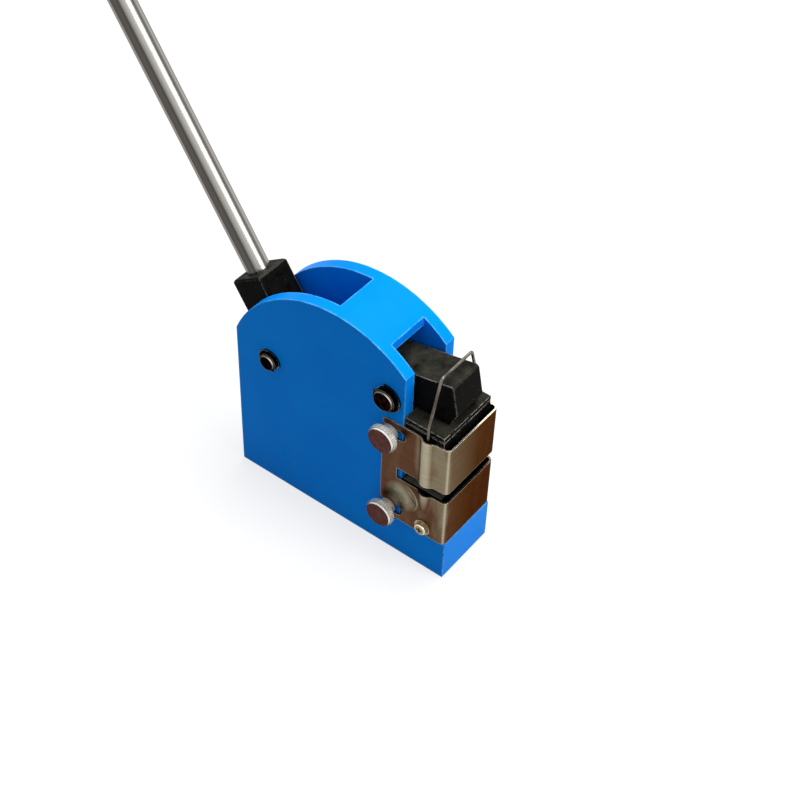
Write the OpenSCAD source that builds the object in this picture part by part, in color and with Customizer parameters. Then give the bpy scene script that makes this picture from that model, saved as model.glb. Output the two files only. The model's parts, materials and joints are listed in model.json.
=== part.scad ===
// Bench shrinker for sheet metal edges: a long lever, a rocker arm and a clipped stack of sliding jaws.
// Millimetres, +X to the jaws, +Z up, Y = 0 on the middle plane, origin at the centre of the base face.
// The modules measure X from the rear edge of the casting, and place() moves them to the origin.

/* [Casting] */
// Width over the two cheeks
body_w = 48; // [44:1:60]
// Thickness of each cheek
cheek_t = 8.5; // [7.5:0.5:9.5]
// Length of the foot
body_len = 167.5; // [166:0.5:190]
// Height of the foot in front of the cheeks
foot_h = 31; // [25:0.5:31]
// Length of the cheeks from the rear edge
cheek_len = 132.5; // [131:0.5:135]
// Height of the crown over the base
body_h = 174.5; // [172:0.5:185]
// Radius of the crown
crown_r = 79; // [77:0.5:85]
// Centre of the crown behind the front edge of the cheeks
crown_back = 54; // [50:0.5:58]
// Turn of the crown behind its top, where the flatter rear curve takes over
crown_turn = 25; // [20:1:30]
// Radius of the flatter rear curve
rear_curve_r = 89.5; // [85:0.5:95]
// Height of the slot floor between the cheeks
slot_floor = 84; // [70:0.5:86]
// Thickness of the web that joins the cheeks on top
web_t = 6; // [4:0.5:12]
// Length of the web
web_len = 38.4; // [20:0.2:45]
// Web behind the front edge of the cheeks
web_back = 17.3; // [12:0.1:25]

/* [Base holes] */
// Tapping diameter of the two holes in the base
base_hole_d = 8.5; // [5:0.5:12]
// Depth of the base holes
base_hole_deep = 25; // [10:1:28]
// Spacing of the base holes
base_hole_pitch = 107.5; // [60:0.5:140]

/* [Pins] */
// Diameter of the pin that carries the socket block
rear_pin_d = 12.7; // [10:0.1:16]
// Rear pin in front of the rear edge
rear_pin_x = 27.6; // [26:0.1:30]
// Height of the rear pin
rear_pin_z = 107.1; // [106:0.1:108.5]
// Diameter of the pin that carries the rocker arm
front_pin_d = 15.9; // [12:0.1:18]
// Front pin behind the front edge of the cheeks
front_pin_back = 13; // [12.5:0.1:14.5]
// Height of the front pin
front_pin_z = 131.6; // [130.5:0.1:132.5]
// Rear pin's ends beyond the cheeks
rear_pin_proud = 4; // [3:0.1:6]
// Front pin's ends beyond the cheeks
front_pin_proud = 5; // [3:0.1:6]
// Chamfer of the pin ends
pin_chamfer = 1.2; // [0.5:0.1:2]
// Depth of the groove for a retaining clip
groove_deep = 1.5; // [1:0.1:2]
// Thickness of the retaining clips
ring_t = 1.2; // [0.8:0.1:1.4]
// Turn of the rear retaining clips' opening
rear_ring_turn = 38; // [0:1:360]
// Turn of the front retaining clips' opening
front_ring_turn = 220; // [0:1:360]
// Rim of the rear retaining clips beyond their pin
rear_ring_rim = 2; // [1.6:0.1:4]
// Rim of the front retaining clips beyond their pin
front_ring_rim = 2.2; // [1.6:0.1:4]
// Wall of the spacer rings
spacer_wall = 4; // [3:0.5:5]

/* [Lever] */
// Width of the square socket block
block_w = 26; // [22:0.5:26]
// Length of the socket block above its pin
block_len = 52; // [46:0.5:60]
// Lean of the lever at rest
lever_lean = 33; // [28:0.5:38]
// Stroke of the lever
lever_stroke = 40; // [30:1:42]
// Chamfer round the upper end of the block
block_chamfer = 1.2; // [0.5:0.1:2.5]
// Radius of the toe that lifts the rocker arm
toe_r = 5; // [4:0.1:5.5]
// Reach of the toe from the rear pin
toe_reach = 22; // [21:0.1:23]
// Diameter of the lever rod
rod_d = 16; // [14:0.5:18]
// End of the rod from the rear pin
rod_end = 390; // [300:5:500]
// Diameter of the rod's threaded end
spigot_d = 12.7; // [10:0.1:13]
// Length of the rod's threaded end
spigot_len = 28; // [20:1:30]
// Length of the hand grip
grip_len = 115; // [90:5:140]
// Diameter of the hand grip
grip_d = 25; // [22:0.5:32]
// Thickness of the grip over the rod's end
grip_cap = 4; // [3:0.5:6]

/* [Rocker arm] */
// Width of the rocker arm
arm_w = 26; // [22:0.5:26]
// Slope of the rocker arm at rest
arm_slope = 11.6; // [11:0.1:12.2]
// Top of the arm over the front pin, square to the arm
arm_over = 14.8; // [12:0.1:16]
// Underside of the arm below the front pin, square to the arm
arm_under = 15; // [14.5:0.1:15.5]
// Reach of the nose from the front pin, along the arm
nose_reach = 42.6; // [41:0.1:44]
// Flat of the nose that presses the holder, to its front edge, from the front pin
nose_flat = 38; // [35:0.1:39]
// Height of the square front face of the nose
nose_face = 21; // [16:0.5:22]
// Chamfer of the nose's upper edge
nose_chamfer = 1.4; // [0.5:0.1:2.5]
// Room between the tail of the arm and the hub of the socket block
tail_room = 3.6; // [3.5:0.1:5]

/* [Jaw stack] */
// Height of the upper holder's top
stack_top = 123; // [120:0.1:123.5]
// Length of the holders along the casting
holder_len = 29; // [25:0.5:30]
// Height of the middle of the mouth between the jaws
mouth_z = 74.1; // [72:0.1:76]
// Opening between the jaws at rest
mouth_open = 8.1; // [7.8:0.1:9.5]
// Thickness of a jaw at its outer side
jaw_side_t = 7; // [5:0.1:8]
// Slope of the ramps that the jaws slide on
ramp = 25; // [18:0.5:28]
// Slide of each jaw along its ramp
jaw_slide = 1.3; // [0.8:0.1:2]
// Gap left between the two jaws of a pair when they have slid in
jaw_closed_gap = 0.64; // [0.4:0.02:1.2]
// Pitch of the serrations
tooth_pitch = 1.5; // [1.2:0.1:2.5]
// Depth of the serrations
tooth_deep = 0.6; // [0.3:0.05:0.8]
// Groove under the upper holder's top edge
rim_groove = 0.8; // [0.4:0.1:1.2]
// Groove below the upper holder's top
rim_groove_down = 3.5; // [2.5:0.1:6]

/* [Jaw springs] */
// Wire of the jaw springs
spring_wire = 0.8; // [0.6:0.05:0.9]
// Diameter over the coils
spring_d = 4.4; // [3.8:0.1:4.6]
// Turns of each spring
spring_turns = 8; // [6:0.5:9]
// Depth of the pockets in the jaws
pocket_deep = 6.5; // [5:0.1:8]
// Spacing of the two springs of a pair
spring_pitch = 15; // [12:0.5:17]

/* [Bail] */
// Wire of the bail
bail_wire = 2; // [1.6:0.1:2.2]
// Height of the bail's top bar over the upper holder
bail_rise = 36.4; // [34:0.1:42]
// Half width of the top bar
bail_top_half = 15; // [14:0.5:18]
// Height over the upper holder where the legs turn straight down
bail_knee = 4; // [2:0.1:8]
// Hook below the upper holder's top
hook_down = 19; // [12:0.5:22]
// Depth of the hook in the holder's side
hook_deep = 5; // [3:0.5:8]
// Bend radius of the wire at its middle
bail_bend = 2.4; // [2:0.1:3]

/* [Jaw clip] */
// Sheet of the clip
clip_t = 1.2; // [0.8:0.1:1.5]
// Bottom of the clip over the foot
clip_lift = 1; // [0.5:0.1:3]
// Height of the clip
clip_h = 84; // [80:0.5:86]
// Clip behind the front edge of the cheeks
clip_back = 15; // [14:0.5:18]
// Room between the holders and the clip's front
clip_front_room = 4.1; // [2:0.1:5]
// Outer corner radius of the clip
clip_corner = 3.6; // [2.5:0.1:4.5]
// Radius of the channels down the sides, outside
channel_r = 6; // [5:0.1:7]
// Radius of the hollows where a channel flows into the flat side
channel_blend = 5; // [3:0.1:6]
// Channels beyond the flat sides
channel_out = 3; // [3:0.1:3.5]
// Channel middle in front of the cheeks' front edge
channel_x = 18.7; // [16:0.1:20]
// Slit over the jaws' mouth
slit_extra = 0.5; // [0.3:0.1:1.5]
// Slit starts behind the cheeks' front edge
slit_back = 2.9; // [1:0.1:5]
// Height of the slots for the thumb screws
slot_h = 8; // [7:0.1:9]
// Slots end in front of the thumb screws' middle
slot_reach = 11; // [9:0.5:13]
// Radius of the clip's rear corners
lip_r = 2.5; // [1:0.1:3]

/* [Thumb screws] */
// Thumb screws behind the front edge of the cheeks
thumb_back = 8.5; // [7.5:0.1:9]
// Height of the upper thumb screws
thumb_upper_z = 107; // [104:0.1:107.5]
// Height of the lower thumb screws
thumb_lower_z = 40.3; // [39:0.1:44]
// Diameter of the head
thumb_d = 19.6; // [16:0.1:20]
// Thickness of the head
thumb_head_t = 5.6; // [4:0.1:7]
// Outer face of the head from the cheek
thumb_out = 12.3; // [11:0.1:14]
// Diameter of the collar under the head
thumb_collar_d = 11.6; // [10:0.1:13]
// Diameter of the threaded shank
thumb_shank_d = 6; // [5:0.1:6.4]
// Shank inside the cheek
thumb_bite = 7.6; // [5:0.1:8]
// Chamfer of the head
thumb_chamfer = 1; // [0.6:0.1:1.4]
// Ridges of the knurl
knurls = 40; // [24:1:48]

/* [Clip screws] */
// Head of the small screws in the lower band
small_head_d = 8.4; // [7:0.1:9]
// Height of the small head
small_head_h = 2.1; // [1.8:0.1:3]
// Shank of the small screws
small_shank_d = 4.8; // [4:0.1:5]
// Shank inside the lower holder
small_bite = 8; // [5:0.5:10]
// Flat washer
flat_washer_d = 11.6; // [10:0.1:12.4]
// Thickness of the flat washer
flat_washer_t = 0.8; // [0.6:0.1:1.2]
// Spring washer
spring_washer_d = 8.8; // [8:0.1:9]
// Thickness of the spring washer
spring_washer_t = 0.9; // [0.8:0.1:1.4]
// Height of the small screws over the clip's bottom edge
small_up = 6.8; // [6.6:0.1:8]

/* [Hidden] */
$fn = 96;
// Gap of neighbours that move past each other
run = 0.3;
// Radial clearance of a pin in its bore
fit = 0.05;
// Clip inside over the cheeks, and holders inside the clip
clip_gap = 0.1;
holder_gap = 0.4;
// Upper holder in front of the cheeks, and the nose's flat behind the holder's rear face
stack_gap = 0.5;
nose_behind = 0.7;
// Mouth of a retaining clip, and the turn and spread of the reliefs between its lips
ring_mouth = 1.8;
relief_turn = 124;
relief_spread = 0.42;
// Split of a spring washer
washer_split = 0.8;
// Spring pocket beside the jaw's flat, and the length a jaw spring is short of its pockets
pocket_beside = 2.2;
spring_short = 0.2;
// Cutters reach this far past a face
past = 1;

side = body_w / 2;
inner = side - cheek_t;
crown_x = cheek_len - crown_back;
crown_z = body_h - crown_r;
curve_x = crown_x + (rear_curve_r - crown_r) * sin(crown_turn);
curve_z = crown_z - (rear_curve_r - crown_r) * cos(crown_turn);
curve_from = crown_x - crown_r * sin(crown_turn);

rear_pin = [rear_pin_x, rear_pin_z];
front_pin = [cheek_len - front_pin_back, front_pin_z];
rear_ring_d = rear_pin_d + 2 * rear_ring_rim;
front_ring_d = front_pin_d + 2 * front_ring_rim;
ring_side_room = 0.05;

// The toe touches the straight underside of the tail at rest and at full stroke, less the running gap
hub_r = block_w / 2;
toe_off = arm_under + toe_r + run;
square_to_arm = [-sin(arm_slope), cos(arm_slope)];
toe_rest = arm_slope - asin((toe_off + square_to_arm * (rear_pin - front_pin)) / toe_reach);
toe_end = rear_pin + toe_reach * [cos(toe_rest + lever_stroke), sin(toe_rest + lever_stroke)] - front_pin;
arm_stroke = arm_slope + 180 - (atan2(toe_end[1], toe_end[0]) + 360) % 360 + asin(toe_off / norm(toe_end));

// Drop of the nose, and so of the upper holder, over that stroke
nose_gap = front_pin_z - stack_top - run;
nose_drop = nose_flat * sin(arm_stroke) - nose_gap * (1 - cos(arm_stroke));
echo(toe_rest = toe_rest, arm_stroke = arm_stroke, arm_per_lever = arm_stroke / lever_stroke);
echo(nose_drop = nose_drop, holder_mm_per_rad = nose_drop / (lever_stroke * PI / 180));

holder_x = cheek_len + stack_gap;
holder_front = holder_x + holder_len;
clip_in = side + clip_gap;
clip_out = clip_in + clip_t;
holder_half = clip_in - holder_gap;
clip_front = holder_front + clip_front_room + clip_t;
clip_rear = cheek_len - clip_back;
clip_z = foot_h + clip_lift;
channel_mid = cheek_len + channel_x;
channel_y = clip_out + channel_out - channel_r;
channel_turn_z = mouth_z - mouth_open / 2 + past;
channel_end_z = clip_z + small_up + flat_washer_d / 2 + past;
upper_face = mouth_z + mouth_open / 2;
lower_face = mouth_z - mouth_open / 2;
jaw_in = jaw_closed_gap / 2 + jaw_slide * cos(ramp);
jaw_rise = (holder_half - jaw_in) * tan(ramp);
ramp_gap = run / cos(ramp);
pocket_d = spring_d + 2 * (jaw_slide * sin(ramp) + run);
pocket_up = jaw_side_t + pocket_beside;
spring_len = 2 * (jaw_in + pocket_deep) - spring_short;
thumb_x = cheek_len - thumb_back;
thumb_collar_y = clip_out + run;
washer_y = clip_out + ring_side_room;

// Moves a piece drawn from the casting's rear edge to the origin of the part
module place()
{
    translate([-body_len / 2, 0, 0])
        children();
}

// Extrudes a side view, drawn in X and Z, across the width
module across(width)
{
    rotate([90, 0, 0])
        linear_extrude(width, center = true)
            children();
}

// Extrudes a front view, drawn in Y and Z, forward along X
module forward(from, length)
{
    translate([from, 0, 0])
        rotate([90, 0, 90])
            linear_extrude(length)
                children();
}

// Round bar across the width, centred on the middle plane
module cross_bar(at, diameter, width)
{
    translate([at[0], 0, at[1]])
        rotate([90, 0, 0])
            cylinder(d = diameter, h = width, center = true);
}

// Puts its children on the left side, and mirrored on the right side
module both_sides()
{
    children();
    mirror([0, 1, 0])
        children();
}

// Round piece drawn with its axis along Z, set on an axis along Y with its foot at y and pointing outward
module outward(at, y)
{
    translate([at[0], y, at[1]])
        rotate([-90, 0, 0])
            children();
}

// Corner of a side view that a cutter rounds off, with the corner at the origin
// and the piece towards +X and +Y
module corner_cut(radius)
{
    difference()
    {
        translate([-past, -past])
            square(radius + past);
        translate([radius, radius])
            circle(radius);
    }
}

module casting_view()
{
    square([body_len, foot_h]);
    intersection()
    {
        square([cheek_len, body_h]);
        union()
        {
            square([cheek_len, crown_z]);
            translate([crown_x, crown_z])
                circle(crown_r);
            intersection()
            {
                translate([curve_x, curve_z])
                    circle(rear_curve_r);
                square([curve_from, body_h]);
            }
        }
    }
}

module slot_view()
{
    difference()
    {
        translate([-past, slot_floor])
            square([cheek_len + 2 * past, body_h]);
        intersection()
        {
            translate([cheek_len - web_back - web_len, crown_z])
                square([web_len, body_h]);
            difference()
            {
                translate([crown_x, crown_z])
                    circle(crown_r + 2 * past);
                translate([crown_x, crown_z])
                    circle(crown_r - web_t);
            }
        }
    }
}

module frame_casting()
{
    color("royalblue")
        difference()
        {
            across(body_w)
                casting_view();
            across(2 * inner)
                slot_view();
            cross_bar(rear_pin, rear_pin_d + 2 * fit, body_w + 2 * past);
            cross_bar(front_pin, front_pin_d + 2 * fit, body_w + 2 * past);
            cross_bar([thumb_x, thumb_upper_z], thumb_shank_d + 2 * fit, body_w + 2 * past);
            both_sides()
                outward([thumb_x, thumb_lower_z], side - thumb_bite - 2 * past)
                    cylinder(d = thumb_shank_d + 2 * fit, h = thumb_bite + 3 * past);
            for (end = [-1, 1])
                translate([body_len / 2 + end * base_hole_pitch / 2, 0, -past])
                    cylinder(d = base_hole_d, h = base_hole_deep + past);
        }
}

// Pin with chamfered ends and a groove outside each cheek
module grooved_pin(at, diameter, proud)
{
    half = side + proud;
    groove = side;
    groove_end = groove + ring_t + ring_side_room;
    r = diameter / 2;
    translate([at[0], 0, at[1]])
        rotate([90, 0, 0])
            rotate_extrude()
                polygon([[0, -half], [r - pin_chamfer, -half], [r, -half + pin_chamfer],
                    [r, -groove_end], [r - groove_deep, -groove_end],
                    [r - groove_deep, -groove], [r, -groove],
                    [r, groove], [r - groove_deep, groove],
                    [r - groove_deep, groove_end], [r, groove_end],
                    [r, half - pin_chamfer], [r - pin_chamfer, half], [0, half]]);
}

module rear_pin()
{
    color("dimgray")
        grooved_pin(rear_pin, rear_pin_d, rear_pin_proud);
}

module front_pin()
{
    color("dimgray")
        grooved_pin(front_pin, front_pin_d, front_pin_proud);
}

// Retaining clip: an open ring whose three lips sit in the groove of its pin
module pin_clip(pin_d, outer_d, open_at)
{
    hold = pin_d / 2 - groove_deep + ring_side_room;
    relief = pin_d / 2 + outer_d / 16;
    mouth = ring_mouth * hold;
    linear_extrude(ring_t)
        rotate(open_at)
            difference()
            {
                circle(d = outer_d);
                circle(hold);
                translate([0, -mouth / 2])
                    square([outer_d, mouth]);
                intersection()
                {
                    circle(relief);
                    for (half = [-1, 1])
                        rotate(half * relief_turn)
                            polygon([[0, 0], [outer_d, -relief_spread * outer_d],
                                [outer_d, relief_spread * outer_d]]);
                }
            }
}

module rear_pin_clips()
{
    color("gray")
        both_sides()
            outward(rear_pin, side)
                pin_clip(rear_pin_d, rear_ring_d, rear_ring_turn);
}

module front_pin_clips()
{
    color("gray")
        both_sides()
            outward(front_pin, side)
                pin_clip(front_pin_d, front_ring_d, front_ring_turn);
}

// Spacer rings that keep a moving bar central between the cheeks
module spacer_pair(at, pin_d, bar_w)
{
    both_sides()
        outward(at, bar_w / 2 + run)
            difference()
            {
                cylinder(d = pin_d + 2 * spacer_wall, h = inner - bar_w / 2 - run);
                translate([0, 0, -past])
                    cylinder(d = pin_d + 2 * fit, h = inner);
            }
}

module rear_spacers()
{
    color("goldenrod")
        spacer_pair(rear_pin, rear_pin_d, block_w);
}

module front_spacers()
{
    color("goldenrod")
        spacer_pair(front_pin, front_pin_d, arm_w);
}

// Sets a piece drawn upright over the rear pin to the lever's lean at rest
module leaning()
{
    translate([rear_pin[0], 0, rear_pin[1]])
        rotate([0, -lever_lean, 0])
            children();
}

module block_view()
{
    toe_turn = toe_rest - lever_lean;
    toe = toe_reach * [cos(toe_turn), sin(toe_turn)];
    taper = asin((hub_r - toe_r) / toe_reach);
    far = toe_turn - 90 + taper;
    tail_turn = arm_slope - lever_lean;
    tail_way = [cos(tail_turn), sin(tail_turn)];
    tail_up = [-sin(tail_turn), cos(tail_turn)];
    flat_up = tail_up * toe + toe_r;
    translate([-hub_r, 0])
        square([block_w, block_len]);
    circle(hub_r);
    translate(toe)
        circle(toe_r);
    polygon([sqrt(hub_r * hub_r - flat_up * flat_up) * tail_way + flat_up * tail_up, [0, 0],
        hub_r * [cos(far), sin(far)], toe + toe_r * [cos(far), sin(far)], toe, toe + toe_r * tail_up]);
}

module socket_block()
{
    c = block_chamfer;
    color("darkslategray")
        leaning()
            difference()
            {
                across(block_w)
                    block_view();
                rotate([90, 0, 0])
                    cylinder(d = rear_pin_d + 2 * fit, h = block_w + 2 * past, center = true);
                translate([0, 0, block_len - spigot_len - past])
                    cylinder(d = spigot_d + 2 * fit, h = spigot_len + 2 * past);
                for (turn = [0:90:270])
                    rotate(turn)
                        translate([hub_r, 0, block_len])
                            rotate([90, 0, 0])
                                linear_extrude(2 * block_w, center = true)
                                    polygon([[-c, past], [-c, 0], [0, -c], [past, -c], [past, past]]);
            }
}

module lever_rod()
{
    color("silver")
        leaning()
        {
            translate([0, 0, block_len - spigot_len])
                cylinder(d = spigot_d, h = spigot_len);
            translate([0, 0, block_len])
                cylinder(d = rod_d, h = rod_end - block_len);
        }
}

module hand_grip()
{
    r = grip_d / 2;
    bore = rod_d / 2 + fit;
    lip = (r - bore) / 2;
    color("black")
        leaning()
            translate([0, 0, rod_end + grip_cap - grip_len])
                rotate_extrude()
                {
                    difference()
                    {
                        union()
                        {
                            square([r - lip, grip_len]);
                            translate([0, lip])
                                square([r, grip_len - 2 * lip]);
                            for (end = [lip, grip_len - lip])
                                translate([r - lip, end])
                                    circle(lip);
                        }
                        translate([-past, -past])
                            square([bore + past, grip_len - grip_cap + past + fit]);
                        translate([-2 * r, -past])
                            square([2 * r, grip_len + 2 * past]);
                    }
                }
}

// Point of the rocker arm from the front pin, given along the arm and square to it
function on_arm(along, up) = [along * cos(arm_slope) - up * sin(arm_slope),
    along * sin(arm_slope) + up * cos(arm_slope)];

module arm_view()
{
    tail = rear_pin[0] + hub_r + tail_room - front_pin[0];
    step = stack_gap + front_pin_back - nose_behind;
    polygon([[tail, (tail * sin(arm_slope) + arm_over) / cos(arm_slope)],
        [tail, (tail * sin(arm_slope) - arm_under) / cos(arm_slope)],
        [step, (step * sin(arm_slope) - arm_under) / cos(arm_slope)],
        [step, -nose_gap], [nose_flat, -nose_gap],
        on_arm(nose_reach, arm_over - nose_face), on_arm(nose_reach, arm_over - nose_chamfer),
        on_arm(nose_reach - nose_chamfer, arm_over)]);
}

module rocker_arm()
{
    color("dimgray")
        difference()
        {
            translate([front_pin[0], 0, front_pin[1]])
                across(arm_w)
                    arm_view();
            cross_bar(front_pin, front_pin_d + 2 * fit, arm_w + 2 * past);
        }
}

// Front view of a right jaw that points up from its serrated face, which lies at height 0
module jaw_view()
{
    reach = holder_half - jaw_in;
    teeth = floor(reach / tooth_pitch);
    spare = (reach - teeth * tooth_pitch) / 2;
    face = [for (i = [0:teeth - 1], s = [0, 0.5])
        [jaw_in + spare + (i + s) * tooth_pitch, s == 0 ? tooth_deep : 0]];
    polygon(concat([[jaw_in, tooth_deep]], face, [[holder_half - spare, tooth_deep],
        [holder_half, tooth_deep], [holder_half, jaw_side_t], [jaw_in, jaw_side_t + jaw_rise]]));
}

// Right jaw over its face, with the pockets of the springs
module jaw()
{
    difference()
    {
        forward(holder_x, holder_len)
            jaw_view();
        for (end = [-1, 1])
            translate([holder_x + holder_len / 2 + end * spring_pitch / 2, 0, pocket_up])
                rotate([-90, 0, 0])
                    cylinder(d = pocket_d, h = jaw_in + pocket_deep);
    }
}

module upper_pair()
{
    translate([0, 0, upper_face])
        children();
}

module lower_pair()
{
    translate([0, 0, lower_face])
        mirror([0, 0, 1])
            children();
}

module upper_jaw_left()
{
    color("slategray")
        upper_pair()
            mirror([0, 1, 0])
                jaw();
}

module upper_jaw_right()
{
    color("slategray")
        upper_pair()
            jaw();
}

module lower_jaw_left()
{
    color("slategray")
        lower_pair()
            mirror([0, 1, 0])
                jaw();
}

module lower_jaw_right()
{
    color("slategray")
        lower_pair()
            jaw();
}

coil_r = (spring_d - spring_wire) / 2;
coil_steps = 8;
coil_count = floor(spring_turns * coil_steps);
coil_rise = (spring_len - spring_wire) / coil_count;
coil_path = [for (i = [0:coil_count]) [coil_r * cos(i * 360 / coil_steps), coil_r * sin(i * 360 / coil_steps),
    spring_wire / 2 + i * coil_rise]];
coil_gap = min([for (i = [0:coil_count - coil_steps / 2], j = [i + coil_steps / 2:coil_count])
    norm(coil_path[i] - coil_path[j])]) - spring_wire;
echo(least_gap_in_the_coils = coil_gap);

// Coil spring along Z as one tube of six sides
module coil()
{
    sides = 6;
    r = spring_wire / 2;
    points = [for (i = [0:coil_count]) let (turn = i * 360 / coil_steps)
        for (k = [0:sides - 1]) coil_path[i]
            + r * cos(k * 360 / sides) * [cos(turn), sin(turn), 0] + r * sin(k * 360 / sides) * [0, 0, 1]];
    last = coil_count * sides;
    walls = [for (i = [0:coil_count - 1], k = [0:sides - 1], half = [0, 1])
        let (a = i * sides + k, b = i * sides + (k + 1) % sides)
            half == 0 ? [a, a + sides, b + sides] : [a, b + sides, b]];
    caps = [for (k = [1:sides - 2], end = [0, 1])
        end == 0 ? [0, k, k + 1] : [last, last + k + 1, last + k]];
    polyhedron(points, concat(walls, caps));
}

module spring_pair()
{
    for (end = [-1, 1])
        translate([holder_x + holder_len / 2 + end * spring_pitch / 2, -spring_len / 2, pocket_up])
            rotate([-90, 0, 0])
                coil();
}

module upper_jaw_springs()
{
    color("silver")
        upper_pair()
            spring_pair();
}

module lower_jaw_springs()
{
    color("silver")
        lower_pair()
            spring_pair();
}

module upper_holder()
{
    top = stack_top - upper_face;
    edge = jaw_side_t + ramp_gap;
    color("dimgray")
        difference()
        {
            upper_pair()
                forward(holder_x, holder_len)
                    polygon([[-holder_half, top], [-holder_half, edge], [0, edge + holder_half * tan(ramp)],
                        [holder_half, edge], [holder_half, top]]);
            translate([0, 0, stack_top - rim_groove_down - rim_groove / 2])
                difference()
                {
                    translate([holder_x - past, -holder_half - past, 0])
                        cube([holder_len + 2 * past, 2 * (holder_half + past), rim_groove]);
                    translate([holder_x + rim_groove, rim_groove - holder_half, -past])
                        cube([holder_len - 2 * rim_groove, 2 * (holder_half - rim_groove), 3 * past]);
                }
            both_sides()
                outward([channel_mid, stack_top - hook_down], holder_half - hook_deep - past)
                    cylinder(d = bail_wire + 4 * run, h = hook_deep + 2 * past);
        }
}

module lower_holder()
{
    low = lower_face - foot_h;
    edge = jaw_side_t + ramp_gap;
    color("dimgray")
        difference()
        {
            lower_pair()
                forward(cheek_len, stack_gap + holder_len)
                    polygon([[-holder_half, low], [-holder_half, edge], [0, edge + holder_half * tan(ramp)],
                        [holder_half, edge], [holder_half, low]]);
            both_sides()
                outward([channel_mid, clip_z + small_up], holder_half - small_bite - past)
                    cylinder(d = small_shank_d + 2 * fit, h = small_bite + 2 * past);
        }
}

// Wire through points of a plane that turns left at each of them, a little thinner in its bends
module bent_wire(points, diameter, bend)
{
    last = len(points) - 1;
    runs = [for (i = [0:last - 1]) points[i + 1] - points[i]];
    ways = [for (run_i = runs) atan2(run_i[1], run_i[0])];
    turns = [for (i = [1:last - 1]) (ways[i] - ways[i - 1] + 360) % 360];
    cuts = concat([0], [for (turn = turns) bend * tan(turn / 2)], [0]);
    lap = 0.05;
    thinned = 0.02;
    for (i = [0:last - 1])
        translate(points[i])
            rotate(ways[i])
                translate([cuts[i] - lap, 0, 0])
                    rotate([0, 90, 0])
                        cylinder(d = diameter, h = norm(runs[i]) - cuts[i] - cuts[i + 1] + 2 * lap);
    for (i = [1:last - 1])
        translate(points[i])
            rotate(ways[i - 1])
                translate([-cuts[i], bend, 0])
                    rotate(-90)
                        rotate_extrude(angle = turns[i - 1])
                            translate([bend, 0])
                                circle(d = diameter - thinned);
}

module wire_bail()
{
    leg = holder_half + ring_side_room + bail_wire / 2;
    hook = holder_half - hook_deep;
    hook_z = stack_top - hook_down;
    knee = stack_top + bail_knee;
    bar = stack_top + bail_rise;
    color("silver")
        translate([channel_mid, 0, 0])
            rotate([90, 0, 90])
                bent_wire([[hook, hook_z], [leg, hook_z], [leg, knee], [bail_top_half, bar],
                    [-bail_top_half, bar], [-leg, knee], [-leg, hook_z], [-hook, hook_z]],
                    bail_wire, bail_bend);
}

// Plan view of the clip's outside, or of its inside for a step inward, without the channels
module clip_plan(inset, rear)
{
    front = clip_front - inset;
    half = clip_out - inset;
    r = clip_corner - inset;
    translate([rear, -half])
        square([front - r - rear, 2 * half]);
    translate([rear, r - half])
        square([front - rear, 2 * (half - r)]);
    for (edge = [-1, 1])
        translate([front - r, edge * (half - r)])
            circle(r);
}

// Channel of the clip in plan: a round crest that flows into the flat side through two hollow curves, which
// cut it and the side by a hair, so that they cross instead of only touching
module channel(crest, hollow, half)
{
    hair = 0.05;
    rise = half + hollow - hair - channel_y;
    aside = sqrt(pow(crest + hollow - hair, 2) - rise * rise);
    meet = crest / (crest + hollow);
    difference()
    {
        union()
        {
            translate([0, channel_y])
                circle(crest);
            polygon([[-aside, half - clip_t], [aside, half - clip_t], [aside, half],
                [aside * meet, channel_y + rise * meet], [-aside * meet, channel_y + rise * meet],
                [-aside, half]]);
        }
        for (edge = [-1, 1])
            translate([edge * aside, channel_y + rise])
                circle(hollow);
    }
}

// Outside or inside of the clip: its channels are straight above the mouth and run out below it
module clip_body(inset, longer)
{
    lean = atan(channel_out / (channel_turn_z - channel_end_z));
    translate([0, 0, clip_z - longer])
        linear_extrude(clip_h + 2 * longer)
            clip_plan(inset, clip_rear - longer);
    both_sides()
    {
        translate([channel_mid, 0, mouth_z])
            linear_extrude(clip_z + clip_h - mouth_z + longer)
                channel(channel_r - inset, channel_blend + inset, clip_out - inset);
        translate([channel_mid, clip_out, channel_turn_z])
            rotate([-lean, 0, 0])
                translate([0, -clip_out, clip_z - channel_turn_z])
                    linear_extrude(mouth_z - clip_z)
                        channel(channel_r - inset, channel_blend + inset, clip_out - inset);
    }
}

module clip_cuts()
{
    slit = mouth_open + slit_extra;
    front = clip_front + past;
    translate([cheek_len - slit_back, mouth_z - slit / 2])
        square([front - cheek_len + slit_back, slit]);
    for (z = [thumb_lower_z, thumb_upper_z])
    {
        translate([clip_rear - past, z - slot_h / 2])
            square([thumb_x + slot_reach - slot_h / 2 - clip_rear + past, slot_h]);
        translate([thumb_x + slot_reach - slot_h / 2, z])
            circle(d = slot_h);
        for (edge = [0, 1])
            translate([clip_rear, z])
                mirror([0, edge])
                    translate([0, slot_h / 2])
                        corner_cut(lip_r);
    }
    translate([clip_rear, clip_z])
        corner_cut(lip_r);
    translate([clip_rear, clip_z + clip_h])
        mirror([0, 1])
            corner_cut(lip_r);
}

module jaw_clip()
{
    color("rosybrown")
        difference()
        {
            clip_body(0, 0);
            clip_body(clip_t, past);
            across(2 * (clip_out + channel_out + past))
                clip_cuts();
            both_sides()
                outward([channel_mid, clip_z + small_up], clip_in - past)
                    cylinder(d = small_shank_d + 2 * run, h = clip_t + channel_out + 2 * past);
        }
}

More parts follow.
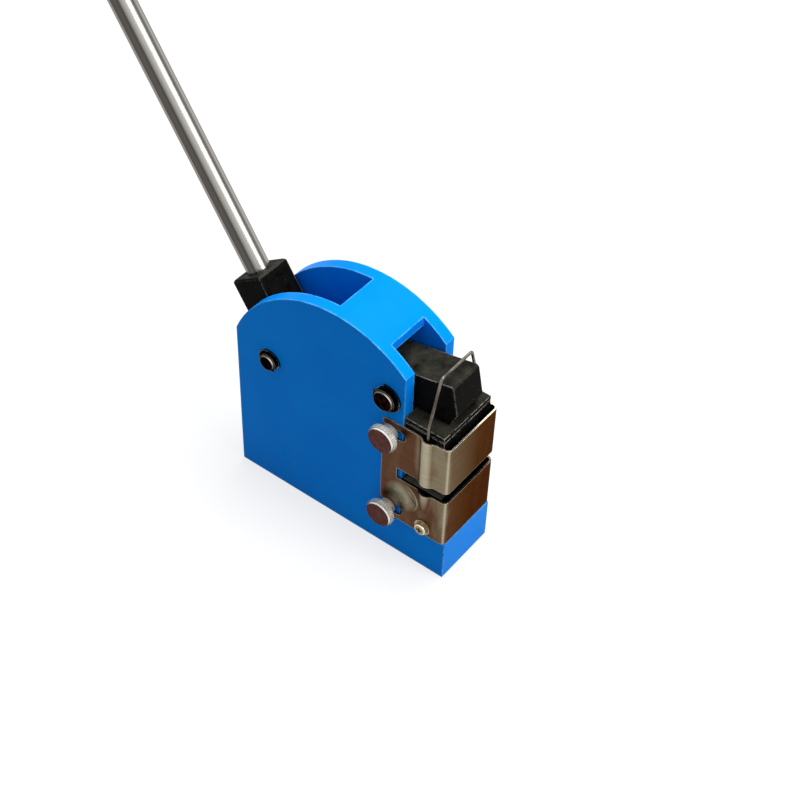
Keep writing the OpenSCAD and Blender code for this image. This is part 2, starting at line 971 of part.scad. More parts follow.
// Thumb screw along Z, from the end of its shank to its outer face
module thumb_screw()
{
    shank = thumb_collar_y - side + thumb_bite;
    collar = side + thumb_out - thumb_head_t - thumb_collar_y;
    r = thumb_d / 2;
    c = thumb_chamfer;
    ridge = 0.45;
    rim = r - ridge - 0.1;
    cylinder(d = thumb_shank_d, h = shank);
    translate([0, 0, shank])
        cylinder(d = thumb_collar_d, h = collar);
    translate([0, 0, shank + collar])
    {
        cylinder(r1 = rim - c / 2, r2 = rim, h = c);
        translate([0, 0, c])
            linear_extrude(thumb_head_t - 2 * c)
                polygon([for (i = [0:2 * knurls - 1])
                    (r - (i % 2) * ridge) * [cos(i * 180 / knurls), sin(i * 180 / knurls)]]);
        translate([0, 0, thumb_head_t - c])
            cylinder(r1 = rim, r2 = rim - c / 2, h = c);
    }
}

module thumb_at(z)
{
    color("lightgray")
        outward([thumb_x, z], side - thumb_bite)
            thumb_screw();
}

module thumb_screw_upper_left()
{
    mirror([0, 1, 0])
        thumb_at(thumb_upper_z);
}

module thumb_screw_upper_right()
{
    thumb_at(thumb_upper_z);
}

module thumb_screw_lower_left()
{
    mirror([0, 1, 0])
        thumb_at(thumb_lower_z);
}

module thumb_screw_lower_right()
{
    thumb_at(thumb_lower_z);
}

// Small screw along Z with a rounded head and a cross recess
module small_screw()
{
    seat = washer_y + flat_washer_t + spring_washer_t;
    shank = seat - holder_half + small_bite;
    edge = small_head_h / 2;
    recess_w = small_head_d / 7;
    recess_l = small_head_d * 0.55;
    difference()
    {
        union()
        {
            cylinder(d = small_shank_d, h = shank);
            translate([0, 0, shank])
                rotate_extrude()
                {
                    square([small_head_d / 2, small_head_h - edge]);
                    square([small_head_d / 2 - edge, small_head_h]);
                    intersection()
                    {
                        translate([small_head_d / 2 - edge, small_head_h - edge])
                            circle(edge);
                        square(small_head_d);
                    }
                }
        }
        for (turn = [0, 90])
            rotate(turn)
                translate([-recess_l / 2, -recess_w / 2, shank + small_head_h / 2])
                    cube([recess_l, recess_w, small_head_h]);
    }
}

module clip_screws()
{
    color("goldenrod")
        both_sides()
            outward([channel_mid, clip_z + small_up], holder_half - small_bite)
                small_screw();
}

// Ring along Z, with a radial split if it is wanted
module washer(outer_d, thick, split)
{
    difference()
    {
        cylinder(d = outer_d, h = thick);
        translate([0, 0, -past])
            cylinder(d = small_shank_d + 2 * fit, h = thick + 2 * past);
        if (split > 0)
            translate([0, -split / 2, -past])
                cube([outer_d, split, thick + 2 * past]);
    }
}

module spring_washers()
{
    color("gray")
        both_sides()
            outward([channel_mid, clip_z + small_up], washer_y + flat_washer_t)
                washer(spring_washer_d, spring_washer_t, washer_split);
}

module flat_washers()
{
    color("silver")
        both_sides()
            outward([channel_mid, clip_z + small_up], washer_y)
                washer(flat_washer_d, flat_washer_t, 0);
}

place()
{
    frame_casting();
    rear_pin();
    front_pin();
    rear_pin_clips();
    front_pin_clips();
    rear_spacers();
    front_spacers();
    socket_block();
    lever_rod();
    hand_grip();
    rocker_arm();
    upper_holder();
    upper_jaw_left();
    upper_jaw_right();
    upper_jaw_springs();
    lower_holder();
    lower_jaw_left();
    lower_jaw_right();
    lower_jaw_springs();
    wire_bail();
    jaw_clip();
    thumb_screw_upper_left();
    thumb_screw_upper_right();
    thumb_screw_lower_left();
    thumb_screw_lower_right();
    clip_screws();
    spring_washers();
    flat_washers();
}
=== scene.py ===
import json
from math import cos, radians, sin

import bmesh
import bpy
from mathutils import Matrix, Vector

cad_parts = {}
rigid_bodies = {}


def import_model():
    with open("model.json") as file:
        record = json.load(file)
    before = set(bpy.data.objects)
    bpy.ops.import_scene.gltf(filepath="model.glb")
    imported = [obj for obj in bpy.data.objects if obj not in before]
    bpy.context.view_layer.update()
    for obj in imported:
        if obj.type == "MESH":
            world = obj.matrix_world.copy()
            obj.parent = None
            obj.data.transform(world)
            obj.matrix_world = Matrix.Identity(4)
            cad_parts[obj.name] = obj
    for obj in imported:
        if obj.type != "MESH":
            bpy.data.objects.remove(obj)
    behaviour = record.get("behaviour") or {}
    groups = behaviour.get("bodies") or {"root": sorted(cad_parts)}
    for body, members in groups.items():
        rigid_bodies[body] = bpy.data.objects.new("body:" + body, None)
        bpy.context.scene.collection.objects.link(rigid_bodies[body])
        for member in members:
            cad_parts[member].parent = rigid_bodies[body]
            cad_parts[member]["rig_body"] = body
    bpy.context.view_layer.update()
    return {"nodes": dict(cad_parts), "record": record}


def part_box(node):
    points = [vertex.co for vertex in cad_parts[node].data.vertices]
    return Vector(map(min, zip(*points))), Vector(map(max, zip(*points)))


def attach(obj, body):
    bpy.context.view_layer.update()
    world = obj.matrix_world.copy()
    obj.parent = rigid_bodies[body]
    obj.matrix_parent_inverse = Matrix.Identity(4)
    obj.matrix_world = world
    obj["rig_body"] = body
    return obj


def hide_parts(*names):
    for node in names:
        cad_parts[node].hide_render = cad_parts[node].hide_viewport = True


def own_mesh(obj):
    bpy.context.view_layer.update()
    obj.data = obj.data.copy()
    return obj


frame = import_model()
NODES = frame["nodes"]
SLOT_OF = {sub["node"]: sub["material_slot"] for sub in frame["record"]["subparts"]}
scene = bpy.context.scene


def middle(node):
    low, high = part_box(node)
    return tuple((a + b) / 2 for a, b in zip(low, high))


# Lengths are in metres and colours are linear

# The lever rod leans back from the rear pin. ROD_AHEAD and ASIDE are square to it
LEAN = radians(33)
ROD_FOOT = middle("rear_pin")
ROD_AHEAD = (cos(LEAN), 0.0, sin(LEAN))
ASIDE = (0.0, -1.0, 0.0)

# These choose where the streaks round the rod fall, and so on which side its painted dark and light
# reflection bands lie
STREAK_TURN = 0.35
STREAK_SEED = 0.7

# The jaw clip is bent sheet that lies beside the casting. Its slit parts an upper band from a lower one
CLIP_SHEET = 0.0012
CLIP_GAP = 0.0001
CLIP_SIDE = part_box("frame_casting")[1][1] + CLIP_GAP + CLIP_SHEET
CLIP_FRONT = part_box("jaw_clip")[1][0]
SLIT_Z = (0.070, 0.078)

# Where changes of tone on the jaw clip begin and end. The side that the photograph shows has negative y
# Of these, the front's red is a painted reflection, the olive ahead on the upper band's side is a painted
# reflection and the olive on its front is a painted sheen. Towards the rear the olive gives way to brown
FRONT_REFLECTION_Y = (-0.018, 0.006)
SIDE_REFLECTION_X = (0.056, 0.068)
SIDE_REFLECTION_Y = (-0.022, -0.008)
FRONT_SHEEN_Y = (-0.020, 0.012)
BROWN_REAR_X = (0.047, 0.060)

# Depths under the clip's front face over which its tone, a painted reflection, comes in, depths under both
# faces over which a corner gets a painted highlight, and heights over its side between which the crest of a
# side channel gets a painted highlight
FRONT_SKIN = (0.0015, 0.0006)
CORNER_HIGHLIGHT = (0.0020, 0.0009)
CREST_HIGHLIGHT = (0.0010, 0.0027)

# Round painted reflection on the clip's sides, ahead of the lower thumb screws, with a painted highlight
# along a crease on part of its rim
LOWER_THUMB = middle("thumb_screw_lower_left")
SWIRL_AHEAD = 0.00975
SWIRL_UP = 0.0152
SWIRL_CENTRE = (LOWER_THUMB[0] + SWIRL_AHEAD, 0.0, LOWER_THUMB[2] + SWIRL_UP)
SWIRL_RIM = 0.0125
SWIRL_CORE = 0.005
CREASE_RADIUS = 0.0122
CREASE_EDGE = 0.0008
CREASE_CORE = 0.0002
CREASE_X = (0.050, 0.057)
CREASE_Z = (0.047, 0.054)

# Part of a pin's chamfer that gets a painted highlight, as depths under the pin's end
CHAMFER_HIGHLIGHT = (0.0007, 0.0004)

# How far from an edge each mark reaches, and from how near a wall painted shade gathers in crevices
EDGE_HIGHLIGHT_REACH = 0.0016
CHIP_REACH = 0.0022
WEAR_REACH = 0.0012
PIN_EDGE_HIGHLIGHT_REACH = 0.0006
CLIP_EDGE_HIGHLIGHT_REACH = 0.0010
KNURL_SHADE_REACH = 0.0007
SCREW_SHADE_REACH = 0.0015

# Width of the rounding on the edges of each node that is finished
EDGE_WIDTHS = {
    "frame_casting": 0.0007,
    "socket_block": 0.0005,
    "rocker_arm": 0.0006,
    "upper_holder": 0.00018,
    "lower_holder": 0.0004,
    "jaw_clip": 0.0002,
}
EDGE_SEGMENTS = 2

# From this angle on, an edge of a finished node is shaded sharp and rounded
EDGE_ANGLE = radians(30)

# Neighbouring faces of a finished node that differ by less than this become one
FLAT_ANGLE = radians(0.6)

# From this angle on, an edge of a spring is shaded sharp
COIL_ANGLE = radians(70)

# Points closer than this are welded, and points this near to the cut count as on it
WELD_DISTANCE = 2e-6
CUT_DISTANCE = 1e-6

# Most values of a noise lie within the first range. The second one leaves more of a surface in its first tone
NOISE_RANGE = (0.3, 0.7)
SPECK_RANGE = (0.35, 0.7)

# Sockets of a colour mix: its two colours and its result
MIX_FROM, MIX_TO, MIX_RESULT = 6, 7, 2

EDGE_SAMPLES = 4
CREVICE_SAMPLES = 6


# Node helpers

def new_material(name):
    material = bpy.data.materials.new(name)
    material.use_nodes = True
    material.node_tree.nodes.clear()
    return material, material.node_tree


def add(tree, kind, inputs=None, **settings):
    node = tree.nodes.new(kind)
    for key, value in settings.items():
        setattr(node, key, value)
    for key, value in (inputs or {}).items():
        put(tree, node.inputs[key], value)
    return node


def put(tree, socket, value):
    if isinstance(value, bpy.types.NodeSocket):
        tree.links.new(value, socket)
    elif isinstance(value, (tuple, list)) and socket.type == "RGBA" and len(value) == 3:
        socket.default_value = (*value, 1.0)
    else:
        socket.default_value = value


def place_of(tree):
    return add(tree, "ShaderNodeTexCoord").outputs["Object"]


def normal_of(tree):
    return add(tree, "ShaderNodeNewGeometry").outputs["Normal"]


def split(tree, vector):
    return add(tree, "ShaderNodeSeparateXYZ", {0: vector}).outputs


def vector_math(tree, kind, a, b=(0.0, 0.0, 0.0)):
    return add(tree, "ShaderNodeVectorMath", {0: a, 1: b}, operation=kind).outputs


def stretched(tree, place, scale):
    return vector_math(tree, "MULTIPLY", place, scale)[0]


def noise(tree, place, scale, detail=2.0, rough=0.5):
    inputs = {"Vector": place, "Scale": scale, "Detail": detail, "Roughness": rough}
    return add(tree, "ShaderNodeTexNoise", inputs).outputs[0]


def spread(tree, value, low, high, to_low=0.0, to_high=1.0):
    """The value carried from low..high to to_low..to_high, and held at these ends."""
    inputs = {0: value, 1: low, 2: high, 3: to_low, 4: to_high}
    return add(tree, "ShaderNodeMapRange", inputs, clamp=True).outputs[0]


def near_face(tree, value, face, depths):
    """0 at the first of two depths under a face, and 1 at the second."""
    return spread(tree, value, face - depths[0], face - depths[1])


def math_node(tree, kind, a, b=0.0):
    return add(tree, "ShaderNodeMath", {0: a, 1: b}, operation=kind).outputs[0]


def product(tree, first, *others):
    result = first
    for other in others:
        result = math_node(tree, "MULTIPLY", result, other)
    return result


def magnitude(tree, value):
    return math_node(tree, "ABSOLUTE", value)


def blend_colour(tree, factor, a, b):
    node = add(tree, "ShaderNodeMix", data_type="RGBA")
    put(tree, node.inputs[0], factor)
    put(tree, node.inputs[MIX_FROM], a)
    put(tree, node.inputs[MIX_TO], b)
    return node.outputs[MIX_RESULT]


def two_tone(tree, grain, low, high, dark, light):
    return blend_colour(tree, spread(tree, grain, low, high), dark, light)


def rough_from(tree, grain, smooth, rough):
    return spread(tree, grain, *NOISE_RANGE, smooth, rough)


def bump(tree, height, strength, distance, normal=None):
    inputs = {"Height": height, "Strength": strength, "Distance": distance}
    if normal is not None:
        inputs["Normal"] = normal
    return add(tree, "ShaderNodeBump", inputs).outputs[0]


def edge_mask(tree, radius, low, high):
    rounded = add(tree, "ShaderNodeBevel", {"Radius": radius}, samples=EDGE_SAMPLES).outputs[0]
    same = vector_math(tree, "DOT_PRODUCT", rounded, normal_of(tree))["Value"]
    return spread(tree, same, high, low)


def crevices(tree, reach, low, high):
    node = add(tree, "ShaderNodeAmbientOcclusion", {"Distance": reach}, samples=CREVICE_SAMPLES)
    return spread(tree, node.outputs["AO"], high, low)


def upward(tree):
    return spread(tree, split(tree, normal_of(tree))[2], 0.6, 0.95)


def sideways(tree):
    return magnitude(tree, split(tree, normal_of(tree))[1])


def shader(tree, colour, rough, metal=0.0, normal=None, **more):
    node = add(tree, "ShaderNodeBsdfPrincipled")
    put(tree, node.inputs["Base Color"], colour)
    put(tree, node.inputs["Roughness"], rough)
    put(tree, node.inputs["Metallic"], metal)
    if normal is not None:
        put(tree, node.inputs["Normal"], normal)
    for key, value in more.items():
        put(tree, node.inputs[key.replace("_", " ")], value)
    out = add(tree, "ShaderNodeOutputMaterial")
    tree.links.new(node.outputs[0], out.inputs[0])


# Materials

def blue_paint():
    material, tree = new_material("blue_paint")
    place = place_of(tree)
    deep, pale = (0.0, 0.252, 0.96), (0.0, 0.282, 1.0)
    edge_highlight, primer = (0.25, 0.72, 1.0), (0.012, 0.035, 0.075)
    colour = two_tone(tree, noise(tree, place, 22.0, 3.0), 0.35, 0.65, deep, pale)
    # A light line along the paint's edges is a painted highlight, broken up by noise
    uneven = spread(tree, noise(tree, place, 120.0, 4.0), 0.30, 0.55)
    edge_highlight_share = product(tree, edge_mask(tree, EDGE_HIGHLIGHT_REACH, 0.80, 0.98), uneven, 0.9)
    colour = blend_colour(tree, edge_highlight_share, colour, edge_highlight)
    flakes = spread(tree, noise(tree, place, 330.0, 5.0), 0.66, 0.69)
    chipped = product(tree, edge_mask(tree, CHIP_REACH, 0.86, 0.99), flakes)
    colour = blend_colour(tree, chipped, colour, primer)
    ripples = bump(tree, noise(tree, place, 260.0, 3.0, 0.6), 0.12, 0.0006)
    normal = bump(tree, noise(tree, place, 1400.0, 2.0), 0.12, 0.0002, ripples)
    rough = rough_from(tree, noise(tree, place, 90.0, 4.0), 0.30, 0.42)
    shader(tree, colour, rough, 0.0, normal, Specular_IOR_Level=0.025)
    return material


def black_steel():
    material, tree = new_material("black_steel")
    place = place_of(tree)
    dark, light = (0.0020, 0.0020, 0.0018), (0.0085, 0.0078, 0.0068)
    dust_and_sheen, speck, bare = (0.052, 0.051, 0.038), (0.16, 0.15, 0.13), (0.46, 0.44, 0.38)
    mottled = noise(tree, place, 160.0, 5.0, 0.62)
    colour = two_tone(tree, mottled, *NOISE_RANGE, dark, light)
    # Upward faces get dust in patches, which is also a painted sheen on top faces
    patches = spread(tree, noise(tree, place, 75.0, 5.0, 0.6), 0.30, 0.65)
    colour = blend_colour(tree, product(tree, upward(tree), patches, 0.85), colour, dust_and_sheen)
    specks = spread(tree, noise(tree, place, 900.0, 2.0), 0.70, 0.76, 0.0, 0.5)
    colour = blend_colour(tree, specks, colour, speck)
    uneven = spread(tree, noise(tree, place, 260.0, 5.0), 0.37, 0.49)
    worn = product(tree, edge_mask(tree, WEAR_REACH, 0.74, 0.97), uneven)
    colour = blend_colour(tree, worn, colour, bare)
    scratches = noise(tree, stretched(tree, place, (1.0, 6.0, 1.0)), 700.0, 3.0)
    rough = rough_from(tree, mottled, 0.34, 0.55)
    metal = spread(tree, worn, 0.0, 1.0, 0.0, 0.8)
    shader(tree, colour, rough, metal, bump(tree, scratches, 0.12, 0.0002), Specular_IOR_Level=0.012)
    return material


def black_oxide(pin):
    """Blackened pin and clips. The end's edges and chamfer carry a painted highlight, most of all on its
    upper front.
    """
    material, tree = new_material("black_oxide_" + pin)
    place = place_of(tree)
    pin_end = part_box(pin)[1][1]
    dark, light = (0.006, 0.004, 0.0035), (0.019, 0.013, 0.011)
    # Colours of the painted highlights along the end's edges and on its chamfer
    edge, painted_highlight = (0.75, 0.70, 0.62), (0.85, 0.80, 0.70)
    specks = noise(tree, place, 400.0, 4.0)
    colour = two_tone(tree, specks, *SPECK_RANGE, dark, light)
    # The edges get a painted highlight
    edges = product(tree, edge_mask(tree, PIN_EDGE_HIGHLIGHT_REACH, 0.90, 0.985), 0.4)
    colour = blend_colour(tree, edges, colour, edge)
    facing = split(tree, normal_of(tree))
    across = magnitude(tree, facing[1])
    chamfer = product(tree, spread(tree, across, 0.40, 0.55), spread(tree, across, 0.95, 0.85))
    from_middle = magnitude(tree, split(tree, place)[1])
    chamfer = product(tree, chamfer, near_face(tree, from_middle, pin_end, CHAMFER_HIGHLIGHT))
    # The chamfer's painted highlight is brightest where it faces up and ahead
    bright = product(tree, spread(tree, facing[2], 0.15, 0.45), spread(tree, facing[0], 0.0, 0.35), 0.65)
    bright = math_node(tree, "ADD", bright, spread(tree, facing[2], -0.35, 0.35, 0.0, 0.16))
    colour = blend_colour(tree, product(tree, chamfer, bright), colour, painted_highlight)
    shader(tree, colour, rough_from(tree, specks, 0.16, 0.30), 1.0, Specular_Tint=(0.25, 0.21, 0.19))
    return material


def turn_round_rod(tree, place):
    from_foot = vector_math(tree, "SUBTRACT", place, ROD_FOOT)[0]
    across = vector_math(tree, "DOT_PRODUCT", from_foot, ASIDE)["Value"]
    ahead = vector_math(tree, "DOT_PRODUCT", from_foot, ROD_AHEAD)["Value"]
    return math_node(tree, "ADD", math_node(tree, "ARCTAN2", ahead, across), STREAK_TURN)


def streaks(tree, turn, scale, detail=3.0):
    """Noise that changes round the rod only, so that it draws lines along it."""
    ring = {0: math_node(tree, "COSINE", turn), 1: math_node(tree, "SINE", turn), 2: STREAK_SEED}
    return noise(tree, add(tree, "ShaderNodeCombineXYZ", ring).outputs[0], scale, detail, 0.6)


def polished_steel():
    material, tree = new_material("polished_steel")
    place = place_of(tree)
    dark, light, grey = (0.050, 0.044, 0.036), (0.50, 0.485, 0.45), (0.25, 0.24, 0.225)
    turn = turn_round_rod(tree, place)
    fine = spread(tree, streaks(tree, turn, 12.0), 0.34, 0.66)
    # The broad streaks are in part drawn lines and in part a painted reflection of dark and light
    # surroundings
    colour = two_tone(tree, streaks(tree, turn, 2.4), 0.38, 0.62, dark, light)
    colour = blend_colour(tree, product(tree, fine, 0.35), colour, grey)
    smudges = spread(tree, noise(tree, place, 60.0, 4.0), 0.45, 0.7, 0.0, 0.06)
    rough = math_node(tree, "ADD", spread(tree, fine, 0.0, 1.0, 0.20, 0.28), smudges)
    shader(tree, colour, rough, 1.0, bump(tree, streaks(tree, turn, 60.0), 0.10, 0.0001))
    return material


def olive_and_reflection_share(tree, x, y, patches, on_front, in_upper, front_reflection):
    """How olive the clip is: in patches, with more of them as a painted reflection ahead on the upper band,
    and as a painted sheen on part of its front.
    """
    # A painted reflection ahead on the upper band's side
    ahead = product(tree, in_upper, spread(tree, x, *SIDE_REFLECTION_X, 0.0, 0.13),
                    spread(tree, y, *SIDE_REFLECTION_Y, 1.0, 0.0))
    share = spread(tree, math_node(tree, "ADD", patches, ahead), 0.50, 0.70)
    share = product(tree, share, spread(tree, front_reflection, 0.0, 1.0, 1.0, 0.12))
    # A painted sheen on the upper part of the front
    front = product(tree, on_front, in_upper, spread(tree, y, *FRONT_SHEEN_Y, 0.5, 0.0))
    share = math_node(tree, "MAXIMUM", share, front)
    return product(tree, share, spread(tree, x, *BROWN_REAR_X, 0.25, 1.0))


def swirl_reflection_share(tree, place, x, z, patches):
    """The round painted reflection on the clip's sides, and a painted highlight along part of its rim."""
    level = stretched(tree, place, (1.0, 0.0, 1.0))
    around = vector_math(tree, "DISTANCE", level, SWIRL_CENTRE)["Value"]
    mark = product(tree, spread(tree, around, SWIRL_RIM, SWIRL_CORE),
                   spread(tree, patches, 0.36, 0.58, 0.35, 1.0))
    from_crease = magnitude(tree, math_node(tree, "SUBTRACT", around, CREASE_RADIUS))
    crease_highlight = spread(tree, from_crease, CREASE_EDGE, CREASE_CORE, 0.0, 0.75)
    crease_highlight = product(tree, crease_highlight, spread(tree, x, *CREASE_X), spread(tree, z, *CREASE_Z))
    return math_node(tree, "MAXIMUM", mark, crease_highlight)


def crest_corner_highlight_share(tree, x, aside, brushed):
    """Painted highlights on the crests of the clip's side channels and on its two front corners."""
    crest = spread(tree, aside, CLIP_SIDE + CREST_HIGHLIGHT[0], CLIP_SIDE + CREST_HIGHLIGHT[1], 0.0, 0.7)
    corner = math_node(tree, "MINIMUM", near_face(tree, aside, CLIP_SIDE, CORNER_HIGHLIGHT),
                       near_face(tree, x, CLIP_FRONT, CORNER_HIGHLIGHT))
    painted_highlight = math_node(tree, "MAXIMUM", crest, corner)
    return product(tree, painted_highlight, spread(tree, brushed, 0.25, 0.6, 0.6, 1.0))


def clip_steel():
    material, tree = new_material("clip_steel")
    place = place_of(tree)
    x, y, z = split(tree, place)
    brushed = noise(tree, stretched(tree, place, (6.0, 6.0, 1500.0)), 4.0, 4.0, 0.6)
    patches = noise(tree, stretched(tree, place, (1.0, 1.0, 0.25)), 60.0, 3.0)
    # The brown tones are in part a heat tint and in part a painted reflection of warm surroundings
    brown = two_tone(tree, brushed, *NOISE_RANGE, (0.076, 0.031, 0.018), (0.128, 0.067, 0.041))
    olive = two_tone(tree, brushed, *NOISE_RANGE, (0.155, 0.122, 0.076), (0.26, 0.22, 0.142))
    # A dark reddish painted reflection on the front
    front_reflection_red = two_tone(tree, brushed, *NOISE_RANGE, (0.046, 0.010, 0.004), (0.086, 0.027, 0.013))
    swirl_reflection, painted_highlight = (0.37, 0.34, 0.245), (0.52, 0.47, 0.34)
    edge, top_highlight = (0.66, 0.61, 0.48), (0.85, 0.77, 0.60)
    on_front = near_face(tree, x, CLIP_FRONT, FRONT_SKIN)
    in_upper = spread(tree, z, *SLIT_Z)
    front_reflection = product(tree, on_front, spread(tree, y, *FRONT_REFLECTION_Y))
    colour = blend_colour(tree, front_reflection, brown, front_reflection_red)
    olive_and_reflection_part = olive_and_reflection_share(tree, x, y, patches, on_front, in_upper, front_reflection)
    colour = blend_colour(tree, olive_and_reflection_part, colour, olive)
    # A round painted reflection on the sides, then painted highlights on the crests and front corners
    colour = blend_colour(tree, swirl_reflection_share(tree, place, x, z, patches), colour, swirl_reflection)
    colour = blend_colour(tree, crest_corner_highlight_share(tree, x, magnitude(tree, y), brushed), colour, painted_highlight)
    # Painted highlights along the sheet's edges and on the upper band's upward faces
    edges = product(tree, edge_mask(tree, CLIP_EDGE_HIGHLIGHT_REACH, 0.72, 0.97), 0.8)
    colour = blend_colour(tree, edges, colour, edge)
    colour = blend_colour(tree, product(tree, upward(tree), in_upper, 0.8), colour, top_highlight)
    rough = rough_from(tree, brushed, 0.24, 0.40)
    shader(tree, colour, rough, 1.0, bump(tree, brushed, 0.10, 0.0001), Specular_Tint=(0.48, 0.44, 0.40))
    return material


def tool_steel():
    material, tree = new_material("tool_steel")
    ground = noise(tree, stretched(tree, place_of(tree), (300.0, 6.0, 6.0)), 6.0, 4.0)
    colour = two_tone(tree, ground, *NOISE_RANGE, (0.020, 0.018, 0.016), (0.050, 0.047, 0.042))
    shader(tree, colour, rough_from(tree, ground, 0.26, 0.42), 1.0, bump(tree, ground, 0.1, 0.0001))
    return material


def plain_metal(name, scale, limits, dark, light, shine):
    """A metal with soft specks and no other mark. Shine is its least and greatest roughness."""
    material, tree = new_material(name)
    specks = noise(tree, place_of(tree), scale, 3.0)
    colour = two_tone(tree, specks, *limits, dark, light)
    shader(tree, colour, rough_from(tree, specks, *shine), 1.0)
    return material


def nickel():
    material, tree = new_material("nickel")
    place = place_of(tree)
    specks = noise(tree, place, 350.0, 4.0)
    turned = noise(tree, stretched(tree, place, (1.0, 0.0, 1.0)), 2200.0, 2.0)
    bright = two_tone(tree, specks, *SPECK_RANGE, (0.78, 0.78, 0.72), (0.95, 0.95, 0.90))
    # Faces across the screw are painted a dark reddish brown, a painted reflection
    face = two_tone(tree, specks, *SPECK_RANGE, (0.068, 0.020, 0.016), (0.108, 0.046, 0.040))
    colour = two_tone(tree, sideways(tree), 0.90, 0.97, bright, face)
    # The knurl's crevices are painted darker, a painted shade
    crevice_shade = product(tree, crevices(tree, KNURL_SHADE_REACH, 0.30, 0.85), 0.85)
    colour = blend_colour(tree, crevice_shade, colour, (0.10, 0.095, 0.085))
    shader(tree, colour, rough_from(tree, turned, 0.16, 0.32), 0.55, bump(tree, turned, 0.08, 0.0001),
           Specular_IOR_Level=0.15, Specular_Tint=(0.50, 0.36, 0.34))
    return material


def yellow_zinc():
    material, tree = new_material("zinc_yellow")
    specks = noise(tree, place_of(tree), 420.0, 3.0)
    bright = two_tone(tree, specks, *SPECK_RANGE, (0.66, 0.58, 0.40), (0.90, 0.85, 0.68))
    # Flat faces across the screw are painted darker, a painted reflection
    face = two_tone(tree, specks, *SPECK_RANGE, (0.26, 0.19, 0.105), (0.44, 0.37, 0.25))
    colour = two_tone(tree, sideways(tree), 0.90, 0.985, bright, face)
    # Crevices and the gaps between the washers are painted darker, a painted shade
    crevice_shade = product(tree, crevices(tree, SCREW_SHADE_REACH, 0.35, 0.8), 0.9)
    colour = blend_colour(tree, crevice_shade, colour, (0.03, 0.02, 0.012))
    shader(tree, colour, rough_from(tree, specks, 0.2, 0.34), 1.0)
    return material


def grip_rubber():
    material, tree = new_material("grip_rubber")
    place = place_of(tree)
    grain = noise(tree, place, 1600.0, 3.0)
    dark, light = (0.009, 0.009, 0.009), (0.017, 0.017, 0.017)
    colour = two_tone(tree, noise(tree, place, 40.0, 3.0), *NOISE_RANGE, dark, light)
    shader(tree, colour, rough_from(tree, grain, 0.55, 0.75), 0.0, bump(tree, grain, 0.25, 0.0003))
    return material


MATERIALS = {
    "blue_paint": blue_paint(),
    "black_steel": black_steel(),
    "polished_steel": polished_steel(),
    "clip_steel": clip_steel(),
    "tool_steel": tool_steel(),
    "spring_steel": plain_metal("spring_steel", scale=130.0, limits=(0.35, 0.65), dark=(0.085, 0.072, 0.055),
                                light=(0.20, 0.18, 0.145), shine=(0.2, 0.36)),
    "nickel": nickel(),
    "zinc_yellow": yellow_zinc(),
    "bronze": plain_metal("bronze", scale=300.0, limits=SPECK_RANGE, dark=(0.30, 0.18, 0.07),
                          light=(0.42, 0.27, 0.12), shine=(0.3, 0.45)),
    "grip_rubber": grip_rubber(),
}


def paint(obj, slot):
    obj.data.materials.clear()
    obj.data.materials.append(MATERIALS[slot])


for name, obj in NODES.items():
    paint(obj, SLOT_OF[name])
for pin in ("rear_pin", "front_pin"):
    oxide = black_oxide(pin)
    for name in (pin, pin + "_clips"):
        NODES[name].data.materials[0] = oxide


# Pieces that stand for a CAD node, each made from a copy of its mesh

def welded(name):
    shell = bmesh.new()
    shell.from_mesh(NODES[name].data)
    bmesh.ops.remove_doubles(shell, verts=shell.verts, dist=WELD_DISTANCE)
    return shell


def stand_in(shell, name, piece, angle):
    for face in shell.faces:
        face.smooth = True
    mesh = bpy.data.meshes.new(piece)
    shell.to_mesh(mesh)
    shell.free()
    mesh.set_sharp_from_angle(angle=angle)
    obj = bpy.data.objects.new(piece, mesh)
    scene.collection.objects.link(obj)
    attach(obj, NODES[name]["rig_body"])
    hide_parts(name)
    paint(obj, SLOT_OF[name])
    return obj


def soften(name, width):
    """The node with its edges rounded as the real piece's are."""
    shell = welded(name)
    bmesh.ops.dissolve_limit(shell, angle_limit=FLAT_ANGLE, verts=shell.verts, edges=shell.edges)
    edge = stand_in(shell, name, name + "_finished", EDGE_ANGLE).modifiers.new("edges", "BEVEL")
    edge.width = width
    edge.segments = EDGE_SEGMENTS
    edge.limit_method = "ANGLE"
    edge.angle_limit = EDGE_ANGLE
    edge.harden_normals = True
    edge.use_clamp_overlap = True


def half_springs(name, side, joint):
    """One jaw's half of a pair of springs, from the middle outwards."""
    shell = welded(name)
    everything = list(shell.verts) + list(shell.edges) + list(shell.faces)
    bmesh.ops.bisect_plane(shell, geom=everything, dist=CUT_DISTANCE, plane_co=(0.0, 0.0, 0.0),
                           plane_no=(0.0, side, 0.0), clear_inner=True)
    bmesh.ops.holes_fill(shell, edges=[edge for edge in shell.edges if edge.is_boundary])
    obj = stand_in(shell, name, joint.replace("jaw_slide", "half_springs"), COIL_ANGLE)
    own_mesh(obj)


for name, width in EDGE_WIDTHS.items():
    soften(name, width)
for level in ("upper", "lower"):
    for hand, side in (("left", -1.0), ("right", 1.0)):
        half_springs(level + "_jaw_springs", side, level + "_" + hand + "_jaw_slide")


# Camera, at the place and angle from which the photograph was taken

# EYE is measured from the middle of the foot's back end, and the three directions are those of the picture
FOOT_BACK = Vector((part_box("frame_casting")[0][0], 0.0, 0.0))
EYE = Vector((0.507737, -0.552801, 0.781773))
RIGHT = Vector((0.794726, 0.606223, 0.030085))
DOWN = Vector((0.444639, -0.547726, -0.708726))
AHEAD = Vector((-0.413167, 0.576620, -0.704842))
FOCAL_PIXELS = 1561.75
PHOTO_PIXELS = 800
SENSOR_MM = 36.0
FARTHEST = 100.0

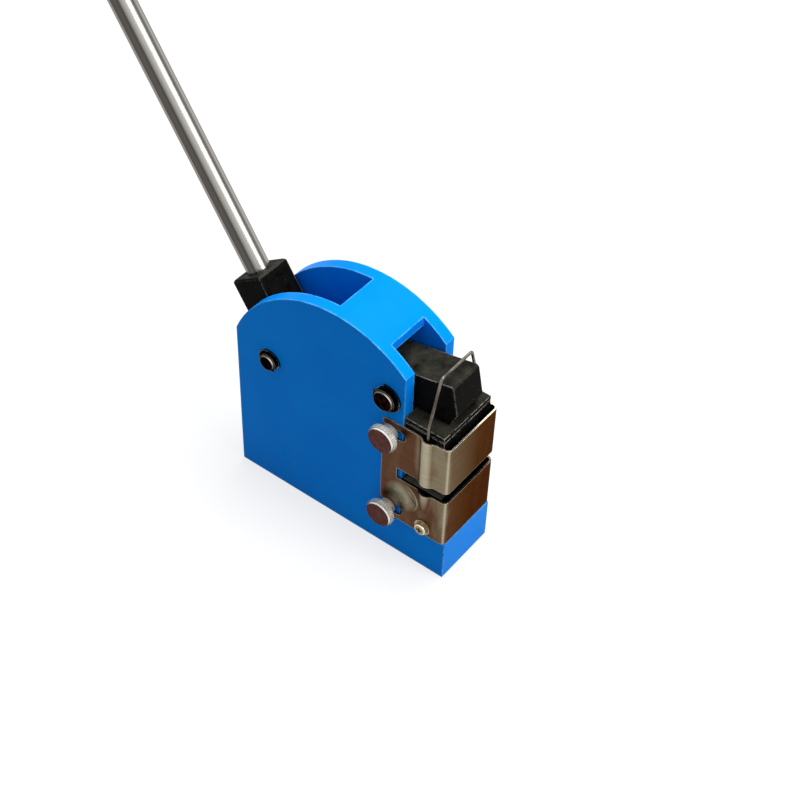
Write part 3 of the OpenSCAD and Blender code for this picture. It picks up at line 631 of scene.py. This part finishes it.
camera_data = bpy.data.cameras.new("camera")
camera_data.sensor_width = SENSOR_MM
camera_data.lens = FOCAL_PIXELS / PHOTO_PIXELS * SENSOR_MM
camera_data.clip_end = FARTHEST
camera = bpy.data.objects.new("camera", camera_data)
scene.collection.objects.link(camera)
aimed = Matrix((RIGHT, -DOWN, -AHEAD)).transposed().to_4x4()
camera.matrix_world = Matrix.Translation(FOOT_BACK + EYE) @ aimed
scene.camera = camera


# Floor, world and lamps

FLOOR_HALF = 6.0
FLOOR_GREY = (0.30, 0.30, 0.30)
FLOOR_GLOW_REACH = (0.5, 3.0)
FLOOR_GLOW = (0.72, 0.88)
WORLD_LIGHT = 0.42
WHITE = (1.0, 1.0, 1.0)


def shown(tree):
    """1 where the background is looked at, directly or in a gloss, and 0 where it gives light."""
    path = add(tree, "ShaderNodeLightPath").outputs
    seen = math_node(tree, "MAXIMUM", path["Is Camera Ray"], path["Is Glossy Ray"])
    return math_node(tree, "MAXIMUM", seen, path["Is Transmission Ray"])


def floor_material():
    material, tree = new_material("floor")
    lit = add(tree, "ShaderNodeBsdfDiffuse", {"Color": FLOOR_GREY})
    away = vector_math(tree, "LENGTH", place_of(tree))["Value"]
    glow_here = spread(tree, away, *FLOOR_GLOW_REACH, *FLOOR_GLOW)
    strength = product(tree, shown(tree), glow_here)
    glow = add(tree, "ShaderNodeEmission", {"Color": WHITE, "Strength": strength})
    both = add(tree, "ShaderNodeAddShader", {0: lit.outputs[0], 1: glow.outputs[0]})
    add(tree, "ShaderNodeOutputMaterial", {0: both.outputs[0]})
    return material


def floor():
    mesh = bpy.data.meshes.new("floor")
    corners = [(x * FLOOR_HALF, y * FLOOR_HALF, 0.0) for x, y in ((-1, -1), (1, -1), (1, 1), (-1, 1))]
    mesh.from_pydata(corners, [], [(0, 1, 2, 3)])
    obj = bpy.data.objects.new("floor", mesh)
    scene.collection.objects.link(obj)
    mesh.materials.append(floor_material())


def world():
    studio = bpy.data.worlds.new("studio")
    studio.use_nodes = True
    tree = studio.node_tree
    tree.nodes.clear()
    strength = spread(tree, shown(tree), 0.0, 1.0, WORLD_LIGHT, 1.0)
    back = add(tree, "ShaderNodeBackground", {"Color": WHITE, "Strength": strength})
    add(tree, "ShaderNodeOutputWorld", {0: back.outputs[0]})
    scene.world = studio


def lamp(name, place, aim, size, power):
    data = bpy.data.lights.new(name, "AREA")
    data.shape = "RECTANGLE"
    data.size, data.size_y = size
    data.energy = power
    obj = bpy.data.objects.new(name, data)
    scene.collection.objects.link(obj)
    obj.location = place
    obj.rotation_euler = (Vector(aim) - Vector(place)).to_track_quat("-Z", "Y").to_euler()


floor()
world()
lamp("key", place=(0.0, 0.35, 1.50), aim=(0.0, 0.0, 0.1), size=(0.9, 0.9), power=17.5)
lamp("side", place=(0.87, 0.12, 0.81), aim=(-0.165, 0.0, 0.275), size=(0.50, 0.75), power=6.0)

scene.view_settings.view_transform = "Standard"
